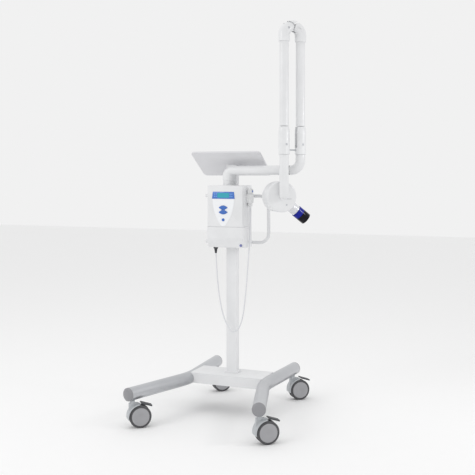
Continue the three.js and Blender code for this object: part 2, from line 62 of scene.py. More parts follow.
MIDDLE, ARCH_RADIUS = -SPACING / 2, SPACING / 2
KNEE_X = MIDDLE + ARCH_RADIUS * math.sqrt(0.5)
KNEE_Z = ARCH_Z + ARCH_RADIUS * math.sqrt(0.5)
PIVOT_Z, SEAT_Z = 1275.0, 1229.7
HEAD_RADIUS, HEAD_AXIS_Z, HEAD_FRONT, HEAD_SEAM = 72.0, 1035.0, 24.0, 38.0
BEAM_Y, CONE_DIP = 66.0, 38.0
SIDES = {"left": -1, "right": 1}

# ---- frames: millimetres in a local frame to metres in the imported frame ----
column_low, column_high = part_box("column")
stand_x = 500.0 * (column_low[0] + column_high[0])
stand_y = 500.0 * (column_low[1] + column_high[1]) - 67.0
STAND = Matrix.Scale(0.001, 4) @ Matrix.Translation((stand_x, stand_y, 0))


def turn(degrees, axis="Z"):
    return Matrix.Rotation(math.radians(degrees), 4, axis)


def shift(x=0.0, y=0.0, z=0.0):
    return Matrix.Translation((x, y, z))


def aim(direction):
    """Turns local +Z to the direction."""
    return Vector((0, 0, 1)).rotation_difference(Vector(direction)).to_matrix().to_4x4()


NEAR = STAND @ shift(POST_X) @ turn(45)
FAR = NEAR @ shift(-SPACING) @ turn(180)
HEAD = NEAR @ shift(-SPACING) @ turn(-5)


# ---- materials ----
def coat(name, color, roughness, metallic=0.0, grain=2600.0, depth=0.05, mottle=0.03, stretch=(1, 1, 1),
         clear=0.0, alpha=1.0, wear=0.08, specular=0.5):
    """A surface with a fine grain, a soft change of tone and of gloss, and rubbed edges."""
    material = bpy.data.materials.new(name)
    material.use_nodes = True
    nodes, links = material.node_tree.nodes, material.node_tree.links
    shader = nodes["Principled BSDF"]
    shader.inputs["Metallic"].default_value = metallic
    shader.inputs["Specular IOR Level"].default_value = specular
    shader.inputs["Coat Weight"].default_value = clear
    shader.inputs["Coat Roughness"].default_value = 0.08
    place = nodes.new("ShaderNodeTexCoord")
    mapping = nodes.new("ShaderNodeMapping")
    mapping.inputs["Scale"].default_value = stretch
    links.new(place.outputs["Object"], mapping.inputs["Vector"])

    def noise(scale, detail):
        node = nodes.new("ShaderNodeTexNoise")
        node.inputs["Scale"].default_value = scale
        node.inputs["Detail"].default_value = detail
        links.new(mapping.outputs["Vector"], node.inputs["Vector"])
        return node

    def ramp(source, low, high, start=0.3, end=0.7):
        node = nodes.new("ShaderNodeValToRGB")
        node.color_ramp.elements[0].position = start
        node.color_ramp.elements[1].position = end
        node.color_ramp.elements[0].color = low
        node.color_ramp.elements[1].color = high
        links.new(source, node.inputs["Fac"])
        return node

    cloud = noise(14.0, 3.0)
    dark = [c * (1 - mottle) for c in color] + [1]
    light = [min(1.0, c * (1 + mottle)) for c in color] + [1]
    tone = ramp(cloud.outputs["Fac"], dark, light)
    geometry = nodes.new("ShaderNodeNewGeometry")
    rubbed = [min(1.0, c + wear) for c in color] + [1]
    edge = ramp(geometry.outputs["Pointiness"], (0, 0, 0, 1), (1, 1, 1, 1), 0.53, 0.62)
    blend = nodes.new("ShaderNodeMix")
    blend.data_type = "RGBA"
    links.new(edge.outputs["Color"], blend.inputs["Factor"])
    links.new(tone.outputs["Color"], blend.inputs["A"])
    blend.inputs["B"].default_value = rubbed
    links.new(blend.outputs["Result"], shader.inputs["Base Color"])
    smear = noise(38.0, 4.0)
    gloss = nodes.new("ShaderNodeMapRange")
    gloss.inputs["To Min"].default_value = roughness * 0.85
    gloss.inputs["To Max"].default_value = min(1.0, roughness * 1.2)
    links.new(smear.outputs["Fac"], gloss.inputs["Value"])
    links.new(gloss.outputs["Result"], shader.inputs["Roughness"])
    fine = noise(grain, 2.0)
    bump = nodes.new("ShaderNodeBump")
    bump.inputs["Strength"].default_value = depth
    bump.inputs["Distance"].default_value = 0.0004
    links.new(fine.outputs["Fac"], bump.inputs["Height"])
    links.new(bump.outputs["Normal"], shader.inputs["Normal"])
    if alpha < 1:
        shader.inputs["Transmission Weight"].default_value = 1 - alpha
        shader.inputs["IOR"].default_value = 1.45
    return material


white_paint = coat("white_paint", (0.74, 0.745, 0.755), 0.40, grain=1500, depth=0.12, clear=0.1)
white_plastic = coat("white_plastic", (0.76, 0.765, 0.775), 0.34, depth=0.07, clear=0.15)
handset_white = coat("handset_white", (0.78, 0.785, 0.79), 0.38, depth=0.08)
silver_paint = coat("silver_paint", (0.52, 0.53, 0.55), 0.30, 0.8, grain=3200, depth=0.08)
hood_grey = coat("hood_grey", (0.47, 0.49, 0.51), 0.48, depth=0.12)
hub_grey = coat("hub_grey", (0.36, 0.36, 0.375), 0.45, depth=0.10)
cap_grey = coat("cap_grey", (0.27, 0.27, 0.285), 0.36, depth=0.08, clear=0.2)
dark_plastic = coat("dark_plastic", (0.030, 0.032, 0.038), 0.52, depth=0.15, wear=0.03)
tyre_rubber = coat("tyre_rubber", (0.085, 0.085, 0.09), 0.78, grain=900, depth=0.25, wear=0.02)
# painted shade: the tray is white, and this grey stands in for the shade on its underside
tray_plastic = coat("tray_plastic", (0.66, 0.66, 0.68), 0.50, grain=1700, depth=0.14)
steel = coat("steel", (0.56, 0.57, 0.60), 0.28, 1.0, grain=700, depth=0.12, stretch=(1, 1, 8))
iron = coat("iron", (0.10, 0.10, 0.11), 0.72, 0.6, grain=420, depth=0.4, mottle=0.15)
copper = coat("copper", (0.42, 0.20, 0.09), 0.42, 0.8, grain=900, depth=0.3, stretch=(1, 1, 7))
blue_plastic = coat("blue_plastic", (0.035, 0.14, 0.50), 0.30, clear=0.3, wear=0.03)
switch_blue = coat("switch_blue", (0.16, 0.18, 0.42), 0.32, clear=0.2, wear=0.03)
display_blue = coat("display_blue", (0.045, 0.16, 0.55), 0.26, clear=0.4, wear=0.02)
screen_teal = coat("screen_teal", (0.02, 0.36, 0.46), 0.20, grain=900, depth=0.02, clear=0.4, wear=0.0)
key_pale = coat("key_pale", (0.14, 0.34, 0.72), 0.4, wear=0.02)
panel_film = coat("panel_film", (0.88, 0.89, 0.91), 0.22, grain=1200, depth=0.05, clear=0.4, wear=0.0)
seam_shadow = coat("seam_shadow", (0.16, 0.17, 0.19), 0.7, wear=0.0)
tube_glass = coat("tube_glass", (0.75, 0.82, 0.82), 0.08, alpha=0.3, wear=0.0)
collar_clear = coat("collar_clear", (0.86, 0.87, 0.90), 0.12, alpha=0.8, clear=0.6, wear=0.0)
cone_blue = coat("cone_blue", (0.003, 0.010, 0.27), 0.13, depth=0.01, wear=0.0, specular=0.25)
cone_black = coat("cone_black", (0.0015, 0.0015, 0.005), 0.13, depth=0.01, wear=0.0, specular=0.2)
cord_jacket = coat("cord_jacket", (0.70, 0.71, 0.73), 0.46, grain=1800, depth=0.15)


# ---- solids ----
def made(name, verts, faces, place):
    mesh = bpy.data.meshes.new(name)
    mesh.from_pydata([place @ Vector(v) for v in verts], [], faces)
    shape = bmesh.new()
    shape.from_mesh(mesh)
    bmesh.ops.remove_doubles(shape, verts=shape.verts, dist=1e-7)
    bmesh.ops.recalc_face_normals(shape, faces=shape.faces)
    shape.to_mesh(mesh)
    shape.free()
    solid = bpy.data.objects.new(name, mesh)
    bpy.context.scene.collection.objects.link(solid)
    return solid


def turned(name, profile, place, sides=64):
    """A closed profile of [radius, height] points turned about local Z; it may start and end on the axis."""
    count = len(profile)
    verts = []
    for step in range(sides):
        angle = 2 * math.pi * step / sides
        verts += [(r * math.cos(angle), r * math.sin(angle), h) for r, h in profile]
    faces = []
    for step in range(sides):
        a, b = step * count, (step + 1) % sides * count
        for i in range(count):
            j = (i + 1) % count
            if profile[i][0] > 0 or profile[j][0] > 0:
                faces.append((a + i, a + j, b + j, b + i))
    return made(name, verts, faces, place)


def rod(name, radius, low, high, place, sides=48):
    return turned(name, [(0, low), (radius, low), (radius, high), (0, high)], place, sides)


def swept(name, path, radius, place, sides=40):
    """A round bar along a list of points, with flat ends."""
    points = [Vector(p) for p in path]
    side = (points[1] - points[0]).orthogonal().normalized()
    verts = []
    for i, point in enumerate(points):
        ahead = (points[min(i + 1, len(points) - 1)] - points[max(i - 1, 0)]).normalized()
        side = (side - ahead * side.dot(ahead)).normalized()
        across = ahead.cross(side)
        for step in range(sides):
            angle = 2 * math.pi * step / sides
            verts.append(point + radius * (math.cos(angle) * side + math.sin(angle) * across))
    faces = [tuple(range(sides)), tuple(range(len(verts) - sides, len(verts)))]
    for i in range(len(points) - 1):
        for step in range(sides):
            a, b = i * sides + step, i * sides + (step + 1) % sides
            faces.append((a, b, b + sides, a + sides))
    return made(name, verts, faces, place)


def prism(name, outline, low, high, axis, place):
    """A flat outline extruded along local X (its points are YZ), Y (XZ) or Z (XY)."""
    lift = {
        "X": lambda a, b, t: (t, a, b),
        "Y": lambda a, b, t: (a, t, b),
        "Z": lambda a, b, t: (a, b, t),
    }[axis]
    count = len(outline)
    verts = [lift(a, b, t) for t in (low, high) for a, b in outline]
    faces = [tuple(range(count)), tuple(range(count, 2 * count))]
    faces += [(i, (i + 1) % count, count + (i + 1) % count, count + i) for i in range(count)]
    return made(name, verts, faces, place)


def block(name, xs, ys, zs, place):
    outline = [(xs[0], ys[0]), (xs[1], ys[0]), (xs[1], ys[1]), (xs[0], ys[1])]
    return prism(name, outline, zs[0], zs[1], "Z", place)


def arc(x, y, radius, start, end, steps=12):
    angles = [math.radians(start + (end - start) * i / steps) for i in range(steps + 1)]
    return [(x + radius * math.cos(a), y + radius * math.sin(a)) for a in angles]


def circle(x, y, radius, steps=48):
    return arc(x, y, radius, 0, 360, steps)[:-1]


def rounded_rectangle(xs, ys, r, steps=10):
    (x0, x1), (y0, y1) = xs, ys
    return (arc(x1 - r, y0 + r, r, -90, 0, steps) + arc(x1 - r, y1 - r, r, 0, 90, steps)
            + arc(x0 + r, y1 - r, r, 90, 180, steps) + arc(x0 + r, y0 + r, r, 180, 270, steps))


def curve_between(points, steps=14):
    """A cubic Bezier curve's points, without the last one."""
    p = [Vector(q) for q in points]
    found = []
    for i in range(steps):
        t = i / steps
        s = 1 - t
        found.append(s ** 3 * p[0] + 3 * s * s * t * p[1] + 3 * s * t * t * p[2] + t ** 3 * p[3])
    return found


def bent(corners, rounding, steps=14):
    """Straight runs with each corner rounded over the given length to either side."""
    points = [Vector(c) for c in corners]
    path = [points[0]]
    for before, corner, after in zip(points, points[1:], points[2:]):
        start = corner + (before - corner).normalized() * rounding
        end = corner + (after - corner).normalized() * rounding
        path += curve_between([start, start.lerp(corner, 0.55), end.lerp(corner, 0.55), end], steps)
        path.append(end)
    return path + [points[-1]]


def bake_modifiers(solid):
    bpy.context.view_layer.update()
    graph = bpy.context.evaluated_depsgraph_get()
    mesh = bpy.data.meshes.new_from_object(solid.evaluated_get(graph))
    solid.modifiers.clear()
    solid.data = mesh
    return solid


def combined(solid, how, *tools):
    for tool in tools:
        modifier = solid.modifiers.new("boolean", "BOOLEAN")
        modifier.operation = how
        modifier.solver = "EXACT"
        modifier.object = tool
        bake_modifiers(solid)
        bpy.data.objects.remove(tool)
    return solid


def soften(solid, width, segments=3, angle=35):
    modifier = solid.modifiers.new("edges", "BEVEL")
    modifier.width = width / 1000
    modifier.segments = segments
    modifier.limit_method = "ANGLE"
    modifier.angle_limit = math.radians(angle)
    return solid


def fitted(solid, material, body, slot, *nodes, edge=0.0, segments=3, angle=35):
    """Smooths a solid, gives it its finish, and lets it ride on its body in place of the CAD nodes."""
    if edge > 0:
        bake_modifiers(soften(solid, edge, segments, angle))
    solid.data.shade_smooth()
    solid.data.set_sharp_from_angle(angle=math.radians(38))
    solid.data.materials.clear()
    solid.data.materials.append(material)
    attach(solid, body)
    if nodes:
        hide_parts(*nodes)
    return solid


def dress(node, material, edge=0.0, segments=3):
    """Keeps a CAD node and gives it its finish."""
    solid = bpy.data.objects[node]
    for slot in solid.material_slots:
        slot.link = "OBJECT"
        slot.material = material
    if edge > 0:
        soften(solid, edge, segments)


# ---- camera, then the cord ----
camera = bpy.data.objects.new("camera", bpy.data.cameras.new("camera"))
camera.data.lens = 62.37
camera.data.sensor_width = 36
camera.data.shift_y = -0.1295
camera.data.dof.use_dof = False
camera.location = (1.5082, -3.6162, 1.131)
camera.rotation_euler = (math.radians(90), 0, math.radians(22.27))
bpy.context.scene.collection.objects.link(camera)
bpy.context.scene.camera = camera

CORD_RADIUS = 3.2
cord_route = [
    (-60, 0, 760.6), (-58.5, 0, 742), (-55.5, 1, 689), (-51, 3, 622), (-41, 6, 538), (-27, 9, 471),
    (-9, 12, 424), (18, 16, 387), (44, 20, 396), (61, 22, 428), (72, 24, 473), (80.5, 27, 541),
    (88, 29, 625), (95, 31, 726), (99, 32, 776), (102.5, 32, 850), (104.4, 32, 925), (105, 32, 986.6),
]


def through(route, steps=9):
    """Points on the centripetal Catmull-Rom curve through the route."""
    points = [Vector(p) for p in route]
    points = [2 * points[0] - points[1]] + points + [2 * points[-1] - points[-2]]
    found = []
    for a, b, c, d in zip(points, points[1:], points[2:], points[3:]):
        t = [0.0]
        for p, q in ((a, b), (b, c), (c, d)):
            t.append(t[-1] + math.sqrt((q - p).length))
        for i in range(steps):
            s = t[1] + (t[2] - t[1]) * i / steps

            def mix(p, q, low, high):
                return p * ((high - s) / (high - low)) + q * ((s - low) / (high - low))

            ab, bc, cd = mix(a, b, t[0], t[1]), mix(b, c, t[1], t[2]), mix(c, d, t[2], t[3])
            found.append(mix(mix(ab, bc, t[0], t[2]), mix(bc, cd, t[1], t[3]), t[1], t[2]))
    return found + [points[-2]]


cord_points = [STAND @ p for p in through(cord_route)]
cord_curve = bpy.data.curves.new("cord", "CURVE")
cord_curve.dimensions = "3D"
cord_curve.bevel_depth = CORD_RADIUS / 1000
cord_curve.bevel_resolution = 5
cord_curve.use_fill_caps = True
cord_spline = cord_curve.splines.new("POLY")
cord_spline.points.add(len(cord_points) - 1)
for spot, point in zip(cord_spline.points, cord_points):
    spot.co = (*point, 1)
cord_spline.use_smooth = True
cord_curve.materials.append(cord_jacket)
cord = bpy.data.objects.new("cord", cord_curve)
bpy.context.scene.collection.objects.link(cord)
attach(cord, "stand")
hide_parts("handset_cord")

# ---- base: bent tubes, domed end caps, cover and ballast ----
for side, sign in SIDES.items():
    corners = [(sign * x, y, TUBE_Z) for x, y in (TUBE_FRONT, TUBE_BEND, TUBE_BACK)]
    path = bent(corners, TUBE_ROUNDING)
    tube = swept(f"{side}_tube", path, TUBE_RADIUS, STAND, 56)
    fitted(tube, silver_paint, "stand", "silver_paint", f"{side}_base_tube")
    for end, corner in (("front", TUBE_FRONT), ("back", TUBE_BACK)):
        along = Vector((sign * (corner[0] - TUBE_BEND[0]), corner[1] - TUBE_BEND[1], 0)).normalized()
        place = STAND @ shift(sign * corner[0], corner[1], TUBE_Z) @ aim(along) @ shift(0, 0, GAP)
        dome = [(0, 0), (29.2, 0), (30, 0.8), (30, 5)]
        dome += [(30 * math.cos(a), 5 + 8.4 * math.sin(a)) for a in
                 [math.radians(d) for d in (12, 24, 36, 48, 60, 72, 82)]] + [(0, 13.4)]
        cap = turned(f"{end}_{side}_cap", dome, place)
        fitted(cap, cap_grey, "stand", "dark_plastic", f"{end}_{side}_end_cap")

        # caster: hood and fender, two tyres on an axle, hub caps, pedal
        name = f"{end}_{side}"
        stem_x = sign * corner[0] - STEM_INSET * along.x
        stem_y = corner[1] - STEM_INSET * along.y
        place = STAND @ shift(stem_x, stem_y) @ turn(CASTER_ANGLE)
        web = [(-16, 112), (-16, 64), (22, 36), (46, 40), (48, 60), (40, 98), (34, 108), (16, 112)]
        hood = prism(f"{name}_hood", web, -7, 7, "Y", place)
        fender = (arc(CASTER_TRAIL, WHEEL_RADIUS, WHEEL_RADIUS + 7, 95, 190, 28)
                  + arc(CASTER_TRAIL, WHEEL_RADIUS, WHEEL_RADIUS + 3, 190, 95, 28))
        combined(
            hood, "UNION",
            prism("fender", fender, -25, 25, "Y", place),
            rod("stem", 11, 105, TUBE_Z - TUBE_RADIUS - GAP, place),
        )
        axle = prism("axle_bore", circle(CASTER_TRAIL, WHEEL_RADIUS, 6.6), -30, 30, "Y", place)
        combined(hood, "DIFFERENCE", axle)
        fitted(hood, hood_grey, f"{name}_caster", "grey_plastic", f"{name}_caster_hood", edge=0.9, segments=2)
        hub = place @ shift(CASTER_TRAIL, 0, WHEEL_RADIUS) @ turn(-90, "X")
        half = [(6, 8), (48.6, 8), (50, 10), (50, 19), (48.4, 21.8), (45.6, 23.1), (41.4, 23.2), (40.4, 20.6),
                (0, 20.6)]
        wheels = [(0, -20.6)] + [(r, -h) for r, h in reversed(half[:-1])] + half
        tyres = turned(f"{name}_tyres", wheels, hub, 72)
        fitted(tyres, tyre_rubber, f"{name}_wheels", "tyre_rubber", f"{name}_caster_wheels")
        face = [(0, 21), (40, 21), (40, 22.6), (38.6, 24), (30, 24.45), (14, 24.2), (12, 23.2), (0, 23.2)]
        for index, flip in enumerate((0, 180)):
            disc = turned(f"{name}_hub_{index}", face, hub @ turn(flip, "X"), 56)
            fitted(disc, hub_grey, f"{name}_wheels", "tyre_rubber")
        dress(f"{name}_brake_pedal", dark_plastic, 1.6)

plinth = block("plinth", (-185, 185), (-22, 133), (132, 183), STAND)
bake_modifiers(soften(plinth, 2.2, 4))
combined(
    plinth, "DIFFERENCE",
    block("plinth_hollow", (-200, 200), (-22 + WALL, 133 - WALL), (127, 183 - WALL), STAND),
    *[swept("saddle", bent([(sign * x, y, TUBE_Z) for x, y in (TUBE_FRONT, TUBE_BEND, TUBE_BACK)],
                           TUBE_ROUNDING),
            TUBE_RADIUS + 0.3, STAND, 56) for sign in SIDES.values()],
)
fitted(plinth, white_paint, "stand", "white_paint", "base_cover")
dress("ballast_block", iron)

# ---- column, tray, handle ----
dress("column", white_paint, 1.2)
# the tray's grey is painted shade on a white part
dress("tray", tray_plastic, 1.6)
dress("handle_clamp", dark_plastic, 0.8)
bars = bent([
    (HANDLE_LEFT, HANDLE_Y, HANDLE_TOP), (HANDLE_RIGHT, HANDLE_Y, HANDLE_TOP),
    (HANDLE_RIGHT, HANDLE_Y, HANDLE_BOTTOM), (HANDLE_LEFT, HANDLE_Y, HANDLE_BOTTOM),
], 45)
fitted(swept("handle_bar", bars, 8, STAND, 32), white_paint, "stand", "white_paint", "handle", edge=1.5)


# ---- control box ----
def lens(centre_z, grow=0.0, steps=14):
    half_width, half_height = 23 + grow, 10 + grow
    points = []
    for lift in (-1, 1):
        for i in range(steps):
            t = i / steps
            x = CONTROLS_X - lift * (2 * t - 1) * half_width
            points.append((x, centre_z + lift * 4 * half_height * t * (1 - t)))
    return points


def well(name, outline):
    return prism(name, outline, BOX_FRONT - 10, BOX_FRONT + 10, "Y", STAND)


BUTTONS = {
    "up_button": lambda grow: lens(981, grow),
    "down_button": lambda grow: lens(959, grow),
    "ready_button": lambda grow: circle(CONTROLS_X, 923, 7 + grow),
}
inner = BOX_HALF - WALL
cover = prism("upper_housing", rounded_rectangle((-BOX_HALF, BOX_HALF), (BOX_FRONT, BOX_SPLIT + 30), 8),
              SEAM_Z + GAP / 2, BOX_HIGH, "Z", STAND)
bake_modifiers(soften(cover, 2.4, 4))
combined(
    cover, "DIFFERENCE",
    block("back_cut", (-100, 100), (BOX_SPLIT - GAP, BOX_SPLIT + 60), (800, 1100), STAND),
    block("hollow", (-inner, inner), (BOX_FRONT + WALL, BOX_SPLIT + 1), (SEAM_Z - 10, BOX_HIGH - WALL),
          STAND),
    rod("riser_bore", 20.5, BOX_HIGH - 20, BOX_HIGH + 20, STAND),
    *[well(f"{name}_well", outline(GAP)) for name, outline in BUTTONS.items()],
)
fitted(cover, white_plastic, "stand", "white_plastic", "upper_cover")

chin = [
    (BOX_FRONT, SEAM_Z - GAP / 2), (BOX_FRONT, CHIN_Z), (CHIN_Y, BOX_LOW), (BOX_SPLIT - GAP, BOX_LOW),
    (BOX_SPLIT - GAP, SEAM_Z - GAP / 2),
]
chin_inside = [
    (BOX_FRONT + WALL, SEAM_Z + 10), (BOX_FRONT + WALL, CHIN_Z + WALL / 4),
    (CHIN_Y + WALL / 1.3, BOX_LOW + WALL),
    (BOX_SPLIT + WALL, BOX_LOW + WALL), (BOX_SPLIT + WALL, SEAM_Z + 10),
]
slope = Vector((0, CHIN_Z - BOX_LOW, CHIN_Y - BOX_FRONT)).normalized()
switch_place = STAND @ shift(77, -17.5, 803) @ aim(slope)
lower = prism("lower_housing", chin, -BOX_HALF, BOX_HALF, "X", STAND)
bake_modifiers(soften(lower, 2.0, 4, 20))
combined(
    lower, "DIFFERENCE",
    prism("chin_hollow", chin_inside, -inner, inner, "X", STAND),
    rod("switch_well", 6.4, -10, 10, switch_place),
)
fitted(lower, white_plastic, "stand", "white_plastic", "lower_cover")
switch = turned("mains_rocker", [(0, -5), (5, -5), (6, -4), (6, 8), (0, 8)], switch_place, 40)
fitted(switch, switch_blue, "mains_switch", "blue_plastic", "mains_switch")
dress("rear_chassis", white_plastic, 1.5)
dress("transformer", copper, 1.0)

panel = [(-66, 1023), (51, 1023), (47, 1056), (-62, 1056)]
window = prism("display_panel", panel, BOX_FRONT - 1.6, BOX_FRONT - GAP, "Y", STAND)
fitted(window, display_blue, "stand", "screen", "display_window", edge=0.5, segments=2)
bow = [t / 20 for t in range(6, 15)]
bridge = [(CONTROLS_X + 46 * t - 23, 980.5 - 40 * t * (1 - t)) for t in bow]
bridge += [(CONTROLS_X + 46 * t - 23, 959.5 + 40 * t * (1 - t)) for t in reversed(bow)]
fitted(prism("button_bridge", bridge, BOX_FRONT - 1.5, BOX_FRONT - 1.22, "Y", STAND), blue_plastic, "stand",
       "blue_plastic")
for name, outline in BUTTONS.items():
    button = prism(f"{name}_cap", outline(0), BOX_FRONT - 4, BOX_FRONT + 5, "Y", STAND)
    fitted(button, blue_plastic, name, "blue_plastic", name, edge=1.4, segments=3)
face_y = BOX_FRONT - 1.6
screen = prism("display_screen", rounded_rectangle((-38, 23), (1028, 1051), 3), face_y - 0.5, face_y - 0.05,
               "Y", STAND)
fitted(screen, screen_teal, "stand", "screen")
for end, centre_x in (("left", -48), ("right", 33)):
    for row in (0, 1):
        for column in (0, 1):
            x, z = centre_x - 5 + 9 * column, 1034 + 11 * row
            key = prism(f"key_{end}_{row}_{column}",
                        rounded_rectangle((x - 2.8, x + 2.8), (z - 3.2, z + 3.2), 1.2, 5),
                        face_y - 0.6, face_y - 0.05, "Y", STAND)
            fitted(key, key_pale, "stand", "screen")
dress("keypad_overlay", panel_film)

# ---- riser, handset, gland ----
riser = turned("riser", [(0, 845), (20, 845), (20, 1088), (19.4, 1088.8), (19.4, 1090.2), (20, 1091),
                         (20, 1108.4),
                         (19.4, 1109), (0, 1109)], STAND)
fitted(riser, white_paint, "stand", "white_paint", "riser_post")
holder = prism("holder", rounded_rectangle((84.8, 117), (14, 50), 5), 1003, 1045, "Z", STAND)
bake_modifiers(soften(holder, 1.2, 3))
combined(
    holder, "DIFFERENCE",
    block("flush", (0, BOX_HALF + GAP), (-10, 75), (985, 1060), STAND),
    block("pocket", (96.6, 113.4), (18.6, 45.4), (965, 1060), STAND),
)
fitted(holder, handset_white, "stand", "white_plastic", "handset_holder")
handset = prism("handset_body", rounded_rectangle((97, 113), (19, 45), 5), 987, 1047, "Z", STAND)
grip_cap = prism("grip_cap", rounded_rectangle((94, 116), (15, 49), 6), 1045.3, 1070, "Z", STAND)
bake_modifiers(soften(grip_cap, 3.0, 4))
combined(handset, "UNION", grip_cap)
button_place = STAND @ shift(116, 32, 1058) @ turn(90, "Y")
combined(handset, "DIFFERENCE", rod("button_well", 5.4, -9, 10, button_place))
fitted(handset, handset_white, "handset", "white_plastic", "handset")
exposure = turned("exposure_cap", [(0, -6), (5, -6), (5, 1.6), (4.2, 2.5), (0, 2.5)], button_place, 40)
fitted(exposure, blue_plastic, "exposure_button", "blue_plastic", "exposure_button")
relief = [(0, 761), (4.6, 761), (5.4, 766), (5.2, 767), (6.2, 772), (6, 773), (7.2, 778), (8, 782.7),
          (11, 783.7),
          (11, 789.7), (0, 789.7)]
fitted(turned("gland", relief, STAND @ shift(-60), 40), dark_plastic, "stand", "dark_plastic", "cable_gland")

# ---- swing arm ----
reach = bent([(0, 0, 1109.4), (0, 0, 1158), (304.7, 0, 1158)], 27, 20)
fitted(swept("reach", reach, 22, STAND, 56), white_plastic, "swing_arm", "white_plastic", "horizontal_arm",
       edge=0.8)
along_x = STAND @ shift(0, 0, 1158) @ turn(90, "Y")
band = [(0, 305), (20.6, 305), (21.2, 305.6), (21.2, 316.1), (20.6, 316.7), (0, 316.7)]
fitted(turned("ring", band, along_x), dark_plastic, "swing_arm", "dark_plastic", "elbow_ring")
rise = bent([(317, 0, 1158), (POST_X, 0, 1158), (POST_X, 0, SEAT_Z - GAP)], 46, 20)
fitted(swept("elbow", rise, 22.5, STAND, 56), white_plastic, "swing_arm", "white_plastic", "elbow_post",
       edge=0.8)


# ---- scissor arm ----
def arch_body(name, place):
    handles = 0.5523 * ARCH_RADIUS
    crown = ARCH_Z + ARCH_RADIUS
    path = [(0, 0, RIM_Z)]
    path += curve_between([(0, 0, ARCH_Z), (0, 0, ARCH_Z + handles), (MIDDLE + handles, 0, crown),
                           (MIDDLE, 0, crown)], 22)
    path += curve_between([(MIDDLE, 0, crown), (MIDDLE - handles, 0, crown), (-SPACING, 0, ARCH_Z + handles),
                           (-SPACING, 0, ARCH_Z)], 22)
    path += [(-SPACING, 0, ARCH_Z), (-SPACING, 0, RIM_Z)]
    return swept(name, path, 26.5, place, 48)


def knee_bores(place, *xs):
    return [prism("pin_bore", circle(x, KNEE_Z, 5.3, 24), -40, 40, "Y", place) for x in xs]


def arm_tube(name, place):
    far = 120
    outer = [(MIDDLE, ARCH_Z), (MIDDLE - far, ARCH_Z - far), (MIDDLE + far, ARCH_Z - far - 20),
             (MIDDLE + far, ARCH_Z + far)]
    ease = 0.5
    inside = [(MIDDLE - far + ease, ARCH_Z - far - ease), (MIDDLE + far + ease, ARCH_Z + far - ease),
              (MIDDLE - far, ARCH_Z + far)]
    kept = prism("kept", outer, -40, 40, "Y", place)
    combined(kept, "INTERSECT", block("near_half", (MIDDLE + 5, 60), (-41, 41), (1700, 1900), place))
    combined(kept, "UNION", prism("knee_disc", circle(KNEE_X, KNEE_Z, 26.5, 64), -39, 39, "Y", place))
    solid = arch_body(name, place)
    combined(solid, "INTERSECT", kept)
    tongue = [(13, 1370)] + arc(0, PIVOT_Z, 13, 0, -180, 24) + [(-13, 1370)]
    combined(
        solid, "UNION",
        prism("tongue", tongue, -11.2, 11.2, "Y", place),
        rod("tube", 21.5, 1360, 1760, place, 56),
    )
    return combined(
        solid, "DIFFERENCE",
        prism("eye_slot", circle(KNEE_X, KNEE_Z, 19.2, 48), -9.4, 9.4, "Y", place),
        prism("link_slot", inside, -9.4, 9.4, "Y", place),
        prism("foot_bore", circle(0, PIVOT_Z, 5.3, 24), -40, 40, "Y", place),
        *knee_bores(place, KNEE_X),
    )


def sleeve(name, place):
    body = [(0, SEAT_Z), (25.2, SEAT_Z), (26, SEAT_Z + 0.8), (26, 1333), (23.8, 1355.6), (22.8, 1357),
            (0, 1357)]
    return combined(
        turned(name, body, place, 56), "DIFFERENCE",
        block("tongue_slot", (-40, 13.6), (-11.6, 11.6), (PIVOT_Z - 13.6, 1362), place),
        prism("sleeve_bore", circle(0, PIVOT_Z, 5.3, 24), -40, 40, "Y", place),
    )


def pin(name, x, z, place):
    profile = [(0, -25.4), (4.2, -25.4), (5, -24.6), (5, 24.6), (4.2, 25.4), (0, 25.4)]
    return turned(name, profile, place @ shift(x, 0, z) @ turn(90, "X"), 32)


fitted(sleeve("lower_socket", NEAR), white_plastic, "lower_turret", "white_plastic", "lower_sleeve")
fitted(sleeve("neck_socket", FAR), white_plastic, "neck_turret", "white_plastic", "neck_sleeve")
fitted(arm_tube("lower_arm_body", NEAR), white_plastic, "lower_arm", "white_plastic", "lower_arm_tube")
fitted(arm_tube("upper_arm_body", FAR), white_plastic, "upper_arm", "white_plastic", "upper_arm_tube")
for name, body, x, z, place in (
    ("lower_sleeve_pin", "lower_turret", 0, PIVOT_Z, NEAR),
    ("neck_sleeve_pin", "neck_turret", 0, PIVOT_Z, FAR),
    ("lower_knee_pin", "knuckle", KNEE_X, KNEE_Z, NEAR), ("upper_knee_pin", "knuckle", KNEE_X, KNEE_Z, FAR),
):
    fitted(pin(f"{name}_turned", x, z, place), steel, body, "steel", name)
bumper_end, bumper_shoulder = 15.755, 15.407
bumper = turned("bumper", [(0, -bumper_end), (3, -bumper_end), (3.5, -bumper_shoulder),
                           (3.5, bumper_shoulder),
                           (3, bumper_end), (0, bumper_end)],
                NEAR @ shift(MIDDLE, 0, 1250) @ turn(90, "Y"), 32)
fitted(bumper, hood_grey, "lower_turret", "dark_plastic", "park_bumper")

knees = (KNEE_X, 2 * MIDDLE - KNEE_X)
knuckle = arch_body("knuckle_body", NEAR)
combined(knuckle, "INTERSECT", block("crown", (MIDDLE - 32, MIDDLE + 32), (-41, 41), (KNEE_Z + 12, 1900),
                                     NEAR))
combined(knuckle, "DIFFERENCE",
         *[prism("sweep", circle(x, KNEE_Z, 33.6, 64), -40, 40, "Y", NEAR) for x in knees])
combined(
    knuckle, "UNION",
    *[prism("eye", circle(x, KNEE_Z, 18.6, 48), -9, 9, "Y", NEAR) for x in knees],
    block("link", (knees[1], knees[0]), (-9, 9), (KNEE_Z - 13, KNEE_Z + 13), NEAR),
    block("crown_web", (MIDDLE - 8, MIDDLE + 8), (-9, 9), (KNEE_Z - 13, KNEE_Z + 30), NEAR),
)
combined(knuckle, "DIFFERENCE", *knee_bores(NEAR, *knees))
fitted(knuckle, white_plastic, "knuckle", "white_plastic", "knuckle")

